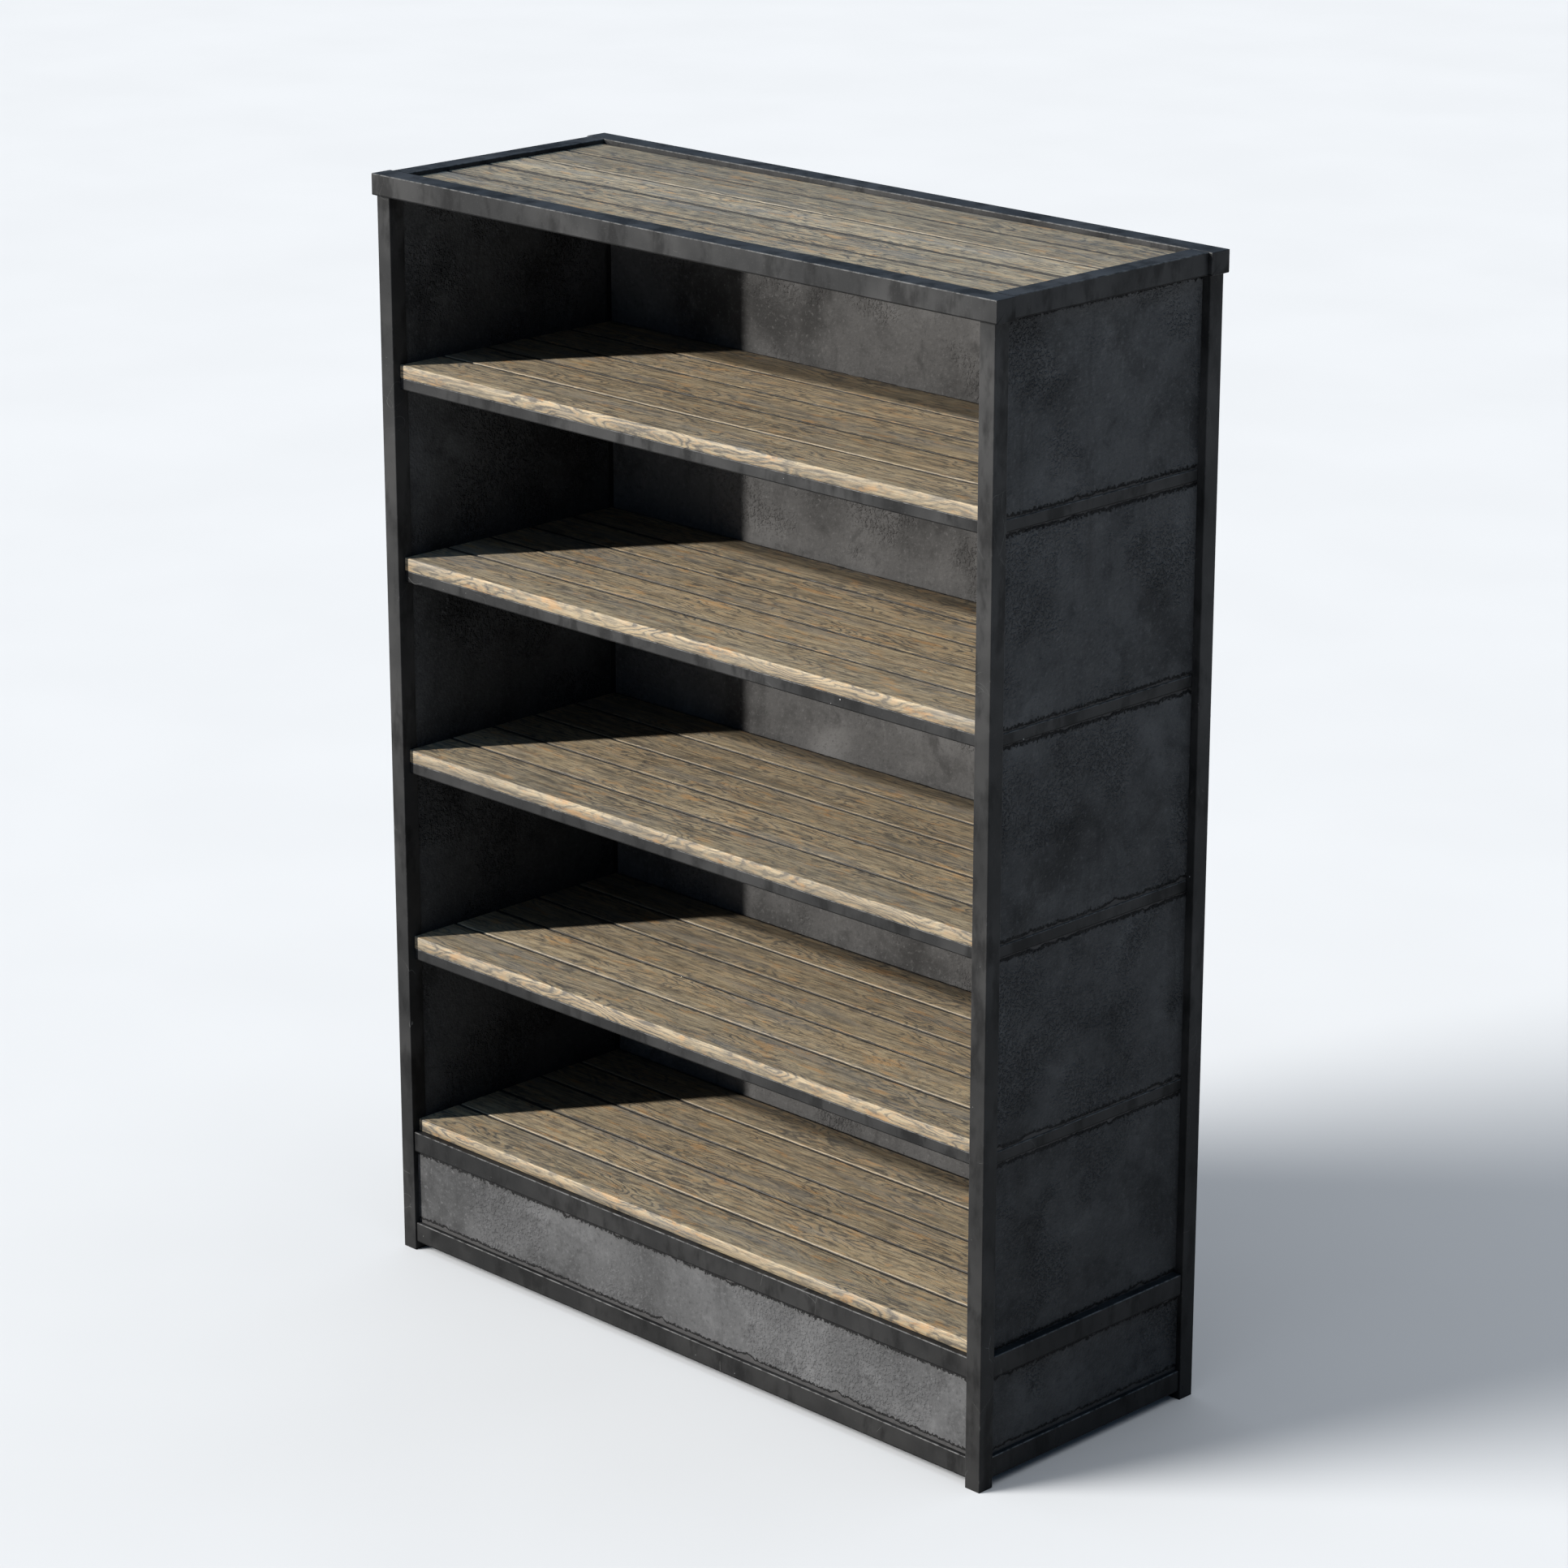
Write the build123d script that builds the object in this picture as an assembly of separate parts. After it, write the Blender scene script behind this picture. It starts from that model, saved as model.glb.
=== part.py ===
from build123d import *
import os

# Industrial bookcase: a welded steel frame with board walls, a recessed plank top, a plank floor over a
# closed plinth, and four loose plank shelves that rest on ledges and draw out at the front.
# Millimetres. +X is the width, +Y runs to the back, +Z is up. The origin is on the floor, under the
# middle of the bookcase.

# ---------------------------------------------------------------- driving dimensions
WIDTH = 1350.0                  # over the top frame
DEPTH = 507.0                   # over the top frame
HEIGHT = 1850.0                 # floor to the rim of the top frame

POST = 30.0                     # square tube of the four corner posts
TOP_SIDE_OVERHANG = 6.5         # top frame beyond the posts' outer faces, left and right
TOP_END_OVERHANG = 4.75         # top frame beyond the posts, front and back
TOP_RAIL_HEIGHT = 35.0
TOP_LONG_RAIL_WIDTH = 40.0      # front and rear rails, which run the full width
TOP_SIDE_RAIL_WIDTH = 35.0      # side rails, flush with the posts
TOP_BOARD_RECESS = 7.5          # top boards below the rim
TOP_LEDGE_WIDTH = 25.0
TOP_LEDGE_THICKNESS = 6.0

RING_RAIL_WIDTH = 25.0          # base and plinth rails, centred on the posts
RING_RAIL_HEIGHT = 35.0
BASE_RAIL_LOW = 15.0            # clearance under the base rails
PLINTH_RAIL_LOW = 181.0

SHELF_TOPS = [565.0, 892.0, 1220.0, 1541.0]
BOARD_THICKNESS = 21.5
BOARDS_PER_DECK = 5
BOARD_GAP = 1.5
BOARD_ROUND = 1.5
DECK_SETBACK = 13.5             # front edge of the shelves and the floor behind the posts' front faces
DECK_END_GAP = 1.0              # between a shelf's ends and the posts
DECK_REAR_GAP = 1.0             # between a shelf and the back panel

SHELF_TUBE = 19.0               # square tube of the shelf frames
SHELF_LIFT = 0.3                # running clearance between a shelf and its ledges
CROSS_RAIL_HEIGHT = 19.0
SIDE_CROSS_RECESS = 14.0        # side cross rails behind the posts' outer faces
LEDGE_WIDTH = 19.0
LEDGE_THICKNESS = 3.0

PANEL_THICKNESS = 12.5
SIDE_PANEL_RECESS = 15.0        # side panels behind the posts' outer faces
PLINTH_PANEL_RECESS = 9.5
BACK_PANEL_THICKNESS = 3.0
BACK_PANEL_RECESS = 15.0        # back panel's rear face behind the posts' rear faces

WALL = 1.5                      # tube wall of the posts and rails
THIN_WALL = 1.2                 # tube wall of the shelf frames and cross rails
TUBE_ROUND = 1.4                # outer corner radius of the posts and rails
THIN_TUBE_ROUND = 1.0
END_PLATE = 2.0                 # plates that close the top rails' ends
CAP_DEPTH = 14.0                # plastic caps in the posts' feet
CAP_WALL = 2.5

SCREW_RADIUS = 2.0
SCREW_HOLE_RADIUS = 2.3
SCREW_HEAD_RADIUS = 4.0
SCREW_HEAD_HEIGHT = 2.4
SCREW_BITE = 15.0               # depth that a screw reaches into a board

# ---------------------------------------------------------------- places worked out from them
POST_X = WIDTH / 2 - TOP_SIDE_OVERHANG      # outer faces of the posts
POST_Y = DEPTH / 2 - TOP_END_OVERHANG
INNER_X = POST_X - POST                     # inner faces of the posts
INNER_Y = POST_Y - POST
TOP_LOW = HEIGHT - TOP_RAIL_HEIGHT
BASE_RAIL_HIGH = BASE_RAIL_LOW + RING_RAIL_HEIGHT
PLINTH_RAIL_HIGH = PLINTH_RAIL_LOW + RING_RAIL_HEIGHT
RING_INSET = (POST - RING_RAIL_WIDTH) / 2   # ring rails behind the posts' faces
RING_X = POST_X - RING_INSET
RING_Y = POST_Y - RING_INSET

DECK_X = INNER_X - DECK_END_GAP
BACK_REAR = POST_Y - BACK_PANEL_RECESS
BACK_FRONT = BACK_REAR - BACK_PANEL_THICKNESS
DECK_FRONT = -POST_Y + DECK_SETBACK
DECK_REAR = BACK_FRONT - DECK_REAR_GAP
SHELF_DEPTH = DECK_REAR - DECK_FRONT
FRAME_LOWS = [top - BOARD_THICKNESS - SHELF_TUBE for top in SHELF_TOPS]
CROSS_LOWS = [low - SHELF_LIFT for low in FRAME_LOWS]
BEARER_HALF = SHELF_TUBE / 2
END_BEARER_X = DECK_X - BEARER_HALF         # end bearers, which rest on the ledges
INNER_BEARER_X = END_BEARER_X / 3           # inner bearers, which the planks are screwed to

LEVELS = range(len(SHELF_TOPS))
SIDES = {"left": -1, "right": 1}
nodes = {}


# ---------------------------------------------------------------- stock shapes
def block(x, y, z):
    """Plain box between the low and high value on each axis."""
    spans = (x, y, z)
    middle = [(min(span) + max(span)) / 2 for span in spans]
    size = [max(span) - min(span) for span in spans]
    return Pos(*middle) * Box(*size)


def tube(x, y, z, run, wall=WALL, rounding=TUBE_ROUND):
    """Rectangular tube with rounded long edges, open at both ends of its run."""
    outer = block(x, y, z)
    outer = fillet(outer.edges().filter_by(run), rounding)
    bore = []
    for axis, span in zip((Axis.X, Axis.Y, Axis.Z), (x, y, z)):
        low, high = min(span), max(span)
        inset = 0.0 if axis == run else wall
        bore.append((low + inset, high - inset))
    return outer - block(*bore)


def board(x, y, z):
    """One plank along X with its long edges eased."""
    plank = block(x, y, z)
    return fillet(plank.edges().filter_by(Axis.X), BOARD_ROUND)


def planks(half_length, front, rear, low):
    """The planks of one deck, side by side from the front to the back."""
    pitch = (rear - front + BOARD_GAP) / BOARDS_PER_DECK
    row = []
    for index in range(BOARDS_PER_DECK):
        start = front + index * pitch
        end = start + pitch - BOARD_GAP
        row.append(board((-half_length, half_length), (start, end), (low, low + BOARD_THICKNESS)))
    return row


def group(solids):
    """Separate solids that share one node."""
    return Compound(children=[part for shape in solids for part in shape.solids()])


def mirrored(span, side):
    """A span on the right-hand side, or its mirror image on the left."""
    return tuple(sorted(side * value for value in span))


# ---------------------------------------------------------------- carcass frame
def add_posts():
    for end, front_back in {"front": -1, "rear": 1}.items():
        for side, sign in SIDES.items():
            x = mirrored((INNER_X, POST_X), sign)
            y = mirrored((INNER_Y, POST_Y), front_back)
            nodes[f"post_{end}_{side}"] = tube(x, y, (0.0, TOP_LOW), Axis.Z)


def foot_cap(x_middle, y_middle):
    """Plastic plug pressed into the foot of a post, hollow from above."""
    half = POST / 2 - WALL
    x = (x_middle - half, x_middle + half)
    y = (y_middle - half, y_middle + half)
    core = half - CAP_WALL
    hollow_x = (x_middle - core, x_middle + core)
    hollow_y = (y_middle - core, y_middle + core)
    return block(x, y, (0.0, CAP_DEPTH)) - block(hollow_x, hollow_y, (CAP_WALL, CAP_DEPTH))


def add_foot_caps():
    x_middle = POST_X - POST / 2
    y_middle = POST_Y - POST / 2
    corners = [(x, y) for x in (-x_middle, x_middle) for y in (-y_middle, y_middle)]
    nodes["foot_caps"] = group([foot_cap(x, y) for x, y in corners])


def add_top_frame():
    """Long rails across the full width with closed ends, and side rails between them."""
    z = (TOP_LOW, HEIGHT)
    inner_y = DEPTH / 2 - TOP_LONG_RAIL_WIDTH
    for end, sign in {"front": -1, "rear": 1}.items():
        y = mirrored((inner_y, DEPTH / 2), sign)
        rail = tube((-WIDTH / 2, WIDTH / 2), y, z, Axis.X)
        plate_y = (min(y) + WALL, max(y) - WALL)
        plate_z = (TOP_LOW + WALL, HEIGHT - WALL)
        pieces = [rail]
        for side in SIDES.values():
            plate_x = mirrored((WIDTH / 2 - END_PLATE, WIDTH / 2), side)
            pieces.append(block(plate_x, plate_y, plate_z))
        nodes[f"top_rail_{end}"] = group(pieces)
    for side, sign in SIDES.items():
        x = mirrored((POST_X - TOP_SIDE_RAIL_WIDTH, POST_X), sign)
        nodes[f"top_rail_{side}"] = tube(x, (-inner_y, inner_y), z, Axis.Y)


def add_ring(name, low):
    """Four rails between the posts, all at one height."""
    z = (low, low + RING_RAIL_HEIGHT)
    for end, sign in {"front": -1, "rear": 1}.items():
        y = mirrored((RING_Y - RING_RAIL_WIDTH, RING_Y), sign)
        nodes[f"{name}_rail_{end}"] = tube((-INNER_X, INNER_X), y, z, Axis.X)
    for side, sign in SIDES.items():
        x = mirrored((RING_X - RING_RAIL_WIDTH, RING_X), sign)
        nodes[f"{name}_rail_{side}"] = tube(x, (-INNER_Y, INNER_Y), z, Axis.Y)


def add_cross_rails():
    """Thin rails at every shelf level, in the side walls and behind the back panel."""
    for level in LEVELS:
        z = (CROSS_LOWS[level], CROSS_LOWS[level] + CROSS_RAIL_HEIGHT)
        for side, sign in SIDES.items():
            x = mirrored((INNER_X, POST_X - SIDE_CROSS_RECESS), sign)
            rail = tube(x, (-INNER_Y, INNER_Y), z, Axis.Y, THIN_WALL, THIN_TUBE_ROUND)
            nodes[f"cross_rail_{side}_{level + 1}"] = rail
        rail = tube((-INNER_X, INNER_X), (BACK_REAR, RING_Y), z, Axis.X, THIN_WALL, THIN_TUBE_ROUND)
        nodes[f"cross_rail_rear_{level + 1}"] = rail


def add_shelf_ledges():
    """Flat bars welded under the side cross rails, which carry the shelves' ends."""
    outer = POST_X - SIDE_PANEL_RECESS - PANEL_THICKNESS
    bars = []
    for low in CROSS_LOWS:
        for sign in SIDES.values():
            x = mirrored((outer - LEDGE_WIDTH, outer), sign)
            bars.append(block(x, (-INNER_Y, INNER_Y), (low - LEDGE_THICKNESS, low)))
    nodes["shelf_ledges"] = group(bars)


# ---------------------------------------------------------------- walls
def add_side_panels():
    """Five boards on each side, one in each bay between the cross rails."""
    lows = [PLINTH_RAIL_HIGH] + [low + CROSS_RAIL_HEIGHT for low in CROSS_LOWS]
    highs = CROSS_LOWS + [TOP_LOW]
    outer = POST_X - SIDE_PANEL_RECESS
    for side, sign in SIDES.items():
        x = mirrored((outer - PANEL_THICKNESS, outer), sign)
        for bay, z in enumerate(zip(lows, highs), start=1):
            nodes[f"side_panel_{side}_{bay}"] = block(x, (-INNER_Y, INNER_Y), z)


def add_plinth_panels():
    z = (BASE_RAIL_HIGH, PLINTH_RAIL_LOW)
    for end, sign in {"front": -1, "rear": 1}.items():
        outer = POST_Y - PLINTH_PANEL_RECESS
        y = mirrored((outer - PANEL_THICKNESS, outer), sign)
        nodes[f"plinth_panel_{end}"] = block((-INNER_X, INNER_X), y, z)
    for side, sign in SIDES.items():
        outer = POST_X - PLINTH_PANEL_RECESS
        x = mirrored((outer - PANEL_THICKNESS, outer), sign)
        nodes[f"plinth_panel_{side}"] = block(x, (-INNER_Y, INNER_Y), z)


def add_back_panel():
    nodes["back_panel"] = block((-INNER_X, INNER_X), (BACK_FRONT, BACK_REAR), (PLINTH_RAIL_HIGH, TOP_LOW))


# ---------------------------------------------------------------- fixed decks
def add_fixed_decks():
    """Planks of the top, inside its frame, and of the floor, over the plinth rails."""
    top_inner_x = POST_X - TOP_SIDE_RAIL_WIDTH
    top_inner_y = DEPTH / 2 - TOP_LONG_RAIL_WIDTH
    top_low = HEIGHT - TOP_BOARD_RECESS - BOARD_THICKNESS
    nodes["top_boards"] = group(planks(top_inner_x, -top_inner_y, top_inner_y, top_low))
    nodes["floor_boards"] = group(planks(DECK_X, DECK_FRONT, DECK_REAR, PLINTH_RAIL_HIGH))

    bearers = []
    flat_z = (TOP_LOW, TOP_LOW + TOP_LEDGE_THICKNESS)
    tube_z = (PLINTH_RAIL_LOW, PLINTH_RAIL_HIGH)
    tube_y = RING_Y - RING_RAIL_WIDTH
    for place in (-1, 0, 1):
        flat_middle = place * (top_inner_x - TOP_LEDGE_WIDTH / 2)
        flat_x = (flat_middle - TOP_LEDGE_WIDTH / 2, flat_middle + TOP_LEDGE_WIDTH / 2)
        bearers.append(block(flat_x, (-top_inner_y, top_inner_y), flat_z))
        tube_middle = place * (DECK_X - RING_RAIL_WIDTH)
        tube_x = (tube_middle - RING_RAIL_WIDTH / 2, tube_middle + RING_RAIL_WIDTH / 2)
        bearers.append(tube(tube_x, (-tube_y, tube_y), tube_z, Axis.Y))
    nodes["deck_bearers"] = group(bearers)


# ---------------------------------------------------------------- loose shelves
def board_middles():
    """Middle of each shelf plank, front to back."""
    pitch = (SHELF_DEPTH + BOARD_GAP) / BOARDS_PER_DECK
    return [DECK_FRONT + (index + 0.5) * pitch - BOARD_GAP / 2 for index in range(BOARDS_PER_DECK)]


def screw_places():
    """Where the screws stand: one under each plank in both inner bearers."""
    return [(x, y) for x in (-INNER_BEARER_X, INNER_BEARER_X) for y in board_middles()]


def bearer(middle, y, z):
    return tube((middle - BEARER_HALF, middle + BEARER_HALF), y, z, Axis.Y, THIN_WALL, THIN_TUBE_ROUND)


def shelf_frame(low):
    """Front and rear rails with four bearers between them, the inner two drilled for the screws."""
    z = (low, low + SHELF_TUBE)
    front_rail_y = (DECK_FRONT, DECK_FRONT + SHELF_TUBE)
    rear_rail_y = (DECK_REAR - SHELF_TUBE, DECK_REAR)
    bars = []
    for y in (front_rail_y, rear_rail_y):
        bars.append(tube((-DECK_X, DECK_X), y, z, Axis.X, THIN_WALL, THIN_TUBE_ROUND))
    bearer_y = (max(front_rail_y), min(rear_rail_y))
    holes = []
    for x, y in screw_places():
        holes.append(Pos(x, y, low + SHELF_TUBE / 2) * Cylinder(SCREW_HOLE_RADIUS, SHELF_TUBE * 2))
    for side in SIDES.values():
        bars.append(bearer(side * END_BEARER_X, bearer_y, z))
        bars.append(bearer(side * INNER_BEARER_X, bearer_y, z) - holes)
    return group(bars)


def shelf_screws(low):
    """Pan-head screws up through the inner bearers into the planks."""
    length = SHELF_TUBE + SCREW_BITE
    screws = []
    for x, y in screw_places():
        shank = Pos(x, y, low + length / 2) * Cylinder(SCREW_RADIUS, length)
        head = Pos(x, y, low - SCREW_HEAD_HEIGHT / 2) * Cylinder(SCREW_HEAD_RADIUS, SCREW_HEAD_HEIGHT)
        screws.append(shank + head)
    return group(screws)


def shelf_boards(low):
    """The shelf's planks, with pilot holes for the screws."""
    pilots = []
    for x, y in screw_places():
        pilots.append(Pos(x, y, low + SCREW_BITE / 2) * Cylinder(SCREW_RADIUS, SCREW_BITE))
    return group([plank - pilots for plank in planks(DECK_X, DECK_FRONT, DECK_REAR, low)])


def add_shelves():
    for level, low in enumerate(FRAME_LOWS, start=1):
        nodes[f"shelf_{level}_frame"] = shelf_frame(low)
        nodes[f"shelf_{level}_boards"] = shelf_boards(low + SHELF_TUBE)
        nodes[f"shelf_{level}_screws"] = shelf_screws(low)


# ---------------------------------------------------------------- the whole bookcase
add_posts()
add_foot_caps()
add_top_frame()
add_ring("base", BASE_RAIL_LOW)
add_ring("plinth", PLINTH_RAIL_LOW)
add_cross_rails()
add_shelf_ledges()
add_side_panels()
add_plinth_panels()
add_back_panel()
add_fixed_decks()
add_shelves()

os.makedirs("parts", exist_ok=True)
for name, shape in nodes.items():
    export_step(shape, f"parts/{name}.step")
print(len(nodes), "nodes written")
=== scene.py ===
"""Looks of the bookcase: worn painted steel, coated wall panels and weathered planks."""

import math

import bmesh
import bpy
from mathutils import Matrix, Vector, noise


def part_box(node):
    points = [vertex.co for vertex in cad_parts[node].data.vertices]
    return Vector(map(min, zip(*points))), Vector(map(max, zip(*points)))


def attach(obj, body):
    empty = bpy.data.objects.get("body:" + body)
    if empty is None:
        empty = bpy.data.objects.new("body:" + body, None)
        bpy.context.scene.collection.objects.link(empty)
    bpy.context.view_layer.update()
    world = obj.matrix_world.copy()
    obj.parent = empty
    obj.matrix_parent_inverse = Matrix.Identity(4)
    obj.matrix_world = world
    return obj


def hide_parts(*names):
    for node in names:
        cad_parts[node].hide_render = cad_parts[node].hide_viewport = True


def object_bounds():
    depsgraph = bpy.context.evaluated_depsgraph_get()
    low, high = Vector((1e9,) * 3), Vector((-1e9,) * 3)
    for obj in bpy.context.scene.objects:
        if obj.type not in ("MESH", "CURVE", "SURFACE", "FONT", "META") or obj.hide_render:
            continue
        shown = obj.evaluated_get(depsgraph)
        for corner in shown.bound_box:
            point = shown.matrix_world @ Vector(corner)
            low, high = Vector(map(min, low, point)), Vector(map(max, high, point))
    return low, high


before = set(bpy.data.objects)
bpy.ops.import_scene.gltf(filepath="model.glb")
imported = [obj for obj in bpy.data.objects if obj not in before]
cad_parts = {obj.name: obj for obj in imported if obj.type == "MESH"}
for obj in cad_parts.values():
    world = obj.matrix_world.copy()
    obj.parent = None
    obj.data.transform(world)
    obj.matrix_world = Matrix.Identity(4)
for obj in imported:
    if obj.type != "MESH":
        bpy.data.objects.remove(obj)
cad_low, cad_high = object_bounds()

MM = 0.001

# -------------------------------- sizes that the CAD nodes' boxes don't give
WALL = 1.5 * MM                 # tube wall of posts and rails
THIN_WALL = 1.2 * MM            # tube wall of shelf frames and cross rails
TUBE_ROUND = 1.4 * MM           # outer corner radius of the posts and rails
THIN_TUBE_ROUND = 1.0 * MM
BORE_ROUND = 0.3 * MM           # inner corner radius of every tube
ARC_STEPS = 4                   # flats in each rounded tube corner
SHELF_TUBE = 19 * MM            # square tube of the shelf frames
END_CHAMFER = 0.5 * MM          # eased tube ends, which show as seams
EDGE_REACH = 2 * MM             # how far the pale edge, partly wear and partly painted highlight, creeps in from a steel edge
LEAST_FLAT = 0.5 * MM           # kept clear of that pale edge on each side of a flat's middle
POST_WEAR_AND_HIGHLIGHT = 0.80                # pale on the posts' edges, partly wear and partly painted highlight, against the rails' upper edges
SHELVES = 4
BAYS = 5
PLANKS = 5                      # planks in each deck
PLANK_GAP = 1.5 * MM
SKIN = 0.6 * MM                 # mineral coat on the wall panels
COAT_STEP = 1.6 * MM            # spacing of the points along its broken edges
LEAST_MARGIN = 0.4 * MM         # the coat never reaches nearer to the panel's edge
RIM_REACH = 22 * MM             # how far dark flakes creep in from the coat's broken edges
# the bare board in these margins is partly flaked coat and partly painted shade of the gaps along
# the rails
TOP_MARGIN = 2.4 * MM           # bare board over the coat, on average
HIDDEN_MARGIN = 0.6 * MM        # the same right under the top frame
SIDE_MARGIN = 2.6 * MM          # bare board under the coat, on the side panels
BOTTOM_MARGIN = 6.0 * MM        # the same on the plinth
PLINTH_MARGINS = (BOTTOM_MARGIN, TOP_MARGIN)


# -------------------------------- material graphs
class Graph:
    """A material, and short calls that add nodes to it.

    Wherever a call takes a number, colour or vector, it also takes another node's output.
    """

    def __init__(self, name):
        self.material = bpy.data.materials.new(name)
        self.material.use_nodes = True
        self.tree = self.material.node_tree
        self.tree.nodes.clear()
        self.shader = self.add("BsdfPrincipled")
        output = self.add("OutputMaterial")
        self.tree.links.new(self.shader.outputs[0], output.inputs["Surface"])

    def add(self, kind, sockets=None, **options):
        """A node with its options and then its input sockets set, which go by name or by index."""
        node = self.tree.nodes.new("ShaderNode" + kind)
        for key, value in options.items():
            setattr(node, key, value)
        for key, value in (sockets or {}).items():
            self.put(node.inputs[key], value)
        return node

    def put(self, socket, value):
        if isinstance(value, bpy.types.NodeSocket):
            self.tree.links.new(value, socket)
        elif socket.type == "RGBA" and len(value) == 3:
            socket.default_value = (*value, 1.0)
        else:
            socket.default_value = value

    def finish(self, **sockets):
        """Gives the material, with the shader's sockets set; an underscore stands for a space."""
        for key, value in sockets.items():
            self.put(self.shader.inputs[key.replace("_", " ")], value)
        return self.material

    def place(self):
        return self.add("TexCoord").outputs["Object"]

    def attribute(self, name, output="Fac"):
        return self.add("Attribute", attribute_name=name).outputs[output]

    def stretch(self, vector, scale):
        return self.add("VectorMath", {0: vector, 1: scale}, operation="MULTIPLY").outputs[0]

    def shift(self, vector, offset):
        return self.add("VectorMath", {0: vector, 1: offset}, operation="ADD").outputs[0]

    def noise(self, vector, scale=1.0, detail=3.0, roughness=0.55, distortion=0.0):
        sockets = {
            "Vector": vector,
            "Scale": scale,
            "Detail": detail,
            "Roughness": roughness,
            "Distortion": distortion,
        }
        return self.add("TexNoise", sockets).outputs[0]

    def ramp(self, value, low, high, at_low=0.0, at_high=1.0, easing="SMOOTHSTEP"):
        """Value from low to high, eased into at_low to at_high and held outside that range."""
        sockets = {0: value, 1: low, 2: high, 3: at_low, 4: at_high}
        return self.add("MapRange", sockets, interpolation_type=easing).outputs[0]

    def calc(self, operation, *values):
        return self.add("Math", dict(enumerate(values)), operation=operation).outputs[0]

    def mix(self, factor, a, b):
        node = self.add("Mix", data_type="RGBA")
        for index, value in ((0, factor), (6, a), (7, b)):
            self.put(node.inputs[index], value)
        return node.outputs[2]

    def tint(self, colour, value):
        """Colour multiplied by a grey value."""
        return self.add("VectorMath", {0: colour, "Scale": value}, operation="SCALE").outputs[0]

    def painted_shade_by_height(self, colour, place, at_foot, at_top):
        """Colour multiplied by a grey that changes evenly from the bookcase's foot to its top,
        as painted shade where the grey is under 1 and painted light where it is over 1.
        """
        height = self.add("SeparateXYZ", {0: place}).outputs[2]
        grey = self.ramp(height, cad_low.z, cad_high.z, at_foot, at_top, "LINEAR")
        return self.tint(colour, grey)

    def bump(self, height, distance, strength=1.0):
        sockets = {"Height": height, "Distance": distance, "Strength": strength}
        return self.add("Bump", sockets).outputs[0]


def specks(g, place, scale, radius, share):
    """Round flecks of up to that radius in metres, in that share of a random lattice's cells."""
    cells = g.add("TexVoronoi", {"Vector": place, "Scale": scale, "Randomness": 1.0})
    pick = g.add("SeparateColor", {0: cells.outputs["Color"]})
    chosen = g.calc("LESS_THAN", pick.outputs[0], share)
    size = g.calc("MULTIPLY_ADD", pick.outputs[1], radius * scale * 0.7, radius * scale * 0.3)
    near = g.calc("LESS_THAN", cells.outputs["Distance"], size)
    return g.calc("MULTIPLY", chosen, near)


def scratches(g, place, scale, width, share):
    """Short curved hairlines: parts of the borders of large cells.

    Noise times the place bends them, so they bend more the further they are from the origin.
    """
    bend = g.add("TexNoise", {"Vector": place, "Scale": scale * 1.7, "Detail": 1.0}).outputs[1]
    moved = g.add("VectorMath", {0: bend, 1: place, 2: place}, operation="MULTIPLY_ADD").outputs[0]
    sockets = {"Vector": moved, "Scale": scale}
    border = g.add("TexVoronoi", sockets, feature="DISTANCE_TO_EDGE").outputs["Distance"]
    line = g.calc("LESS_THAN", border, width * scale)
    where = g.ramp(g.noise(place, scale * 2.3, 1.0), 1.0 - share, 1.02 - share)
    return g.calc("MULTIPLY", line, where)


def steel_material():
    """Dark grey satin paint with sooty upright smudges, darker towards the foot as painted shade
    and lighter towards the top as painted light.

    Its exposed edges are pale, partly from wear and partly as a painted highlight; its seams are
    dark, and so are the lower edges of lying tubes, as painted shade. It has flecks and hairline
    scratches.
    """
    g = Graph("frame_steel_worn_paint")
    place = g.place()
    near_edge = g.attribute("near_edge")
    tall = g.stretch(place, (1.0, 1.0, 0.40))
    smudge = g.noise(tall, 24.0, 4.0, 0.62)
    cloud = g.noise(place, 6.0, 3.0, 0.6)
    grain = g.noise(place, 330.0, 2.0, 0.6)
    soot = g.ramp(smudge, 0.47, 0.66)
    dusty = g.ramp(cloud, 0.35, 0.68)
    colour = g.mix(dusty, (0.0185, 0.0185, 0.0185), (0.034, 0.0335, 0.033))
    colour = g.mix(g.calc("MULTIPLY", soot, 0.72), colour, (0.007, 0.007, 0.007))
    colour = g.mix(g.ramp(grain, 0.60, 0.8, 0.0, 0.30), colour, (0.060, 0.060, 0.058))
    # painted shade darkens the steel towards the foot and painted light lightens it towards the top
    colour = g.painted_shade_by_height(colour, place, 0.60, 1.24)
    breakup = g.noise(place, 70.0, 4.0, 0.7)
    # pale upper edges: partly wear, partly painted highlight
    rubbed_and_highlight = g.calc("MULTIPLY_ADD", breakup, 0.8, near_edge)
    rubbed_and_highlight = g.ramp(rubbed_and_highlight, 1.26, 1.50, 0.0, 0.72)
    colour = g.mix(rubbed_and_highlight, colour, (0.120, 0.118, 0.114))
    # near-black: seams at open tube ends, and painted shade on the lower edges of lying tubes
    seam_and_underside_shade = g.calc("MULTIPLY_ADD", breakup, 0.5, g.attribute("seam_and_underside_shade"))
    colour = g.mix(g.ramp(seam_and_underside_shade, 0.55, 1.0, 0.0, 0.85), colour, (0.003, 0.003, 0.003))
    flecks = specks(g, place, 26.0, 1.3 * MM, 0.30)
    small = specks(g, place, 90.0, 0.6 * MM, 0.12)
    hair = scratches(g, place, 5.0, 0.30 * MM, 0.36)
    marks = g.calc("MAXIMUM", g.calc("MAXIMUM", flecks, small), g.calc("MULTIPLY", hair, 0.30))
    colour = g.mix(marks, colour, (0.26, 0.26, 0.25))
    rough = g.ramp(smudge, 0.3, 0.7, 0.27, 0.44)
    height = g.calc("MULTIPLY_ADD", cloud, 0.4, grain)
    normal = g.bump(height, 0.12 * MM, 0.5)
    return g.finish(Base_Color=colour, Roughness=rough, Normal=normal, Specular_IOR_Level=0.065)


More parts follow.
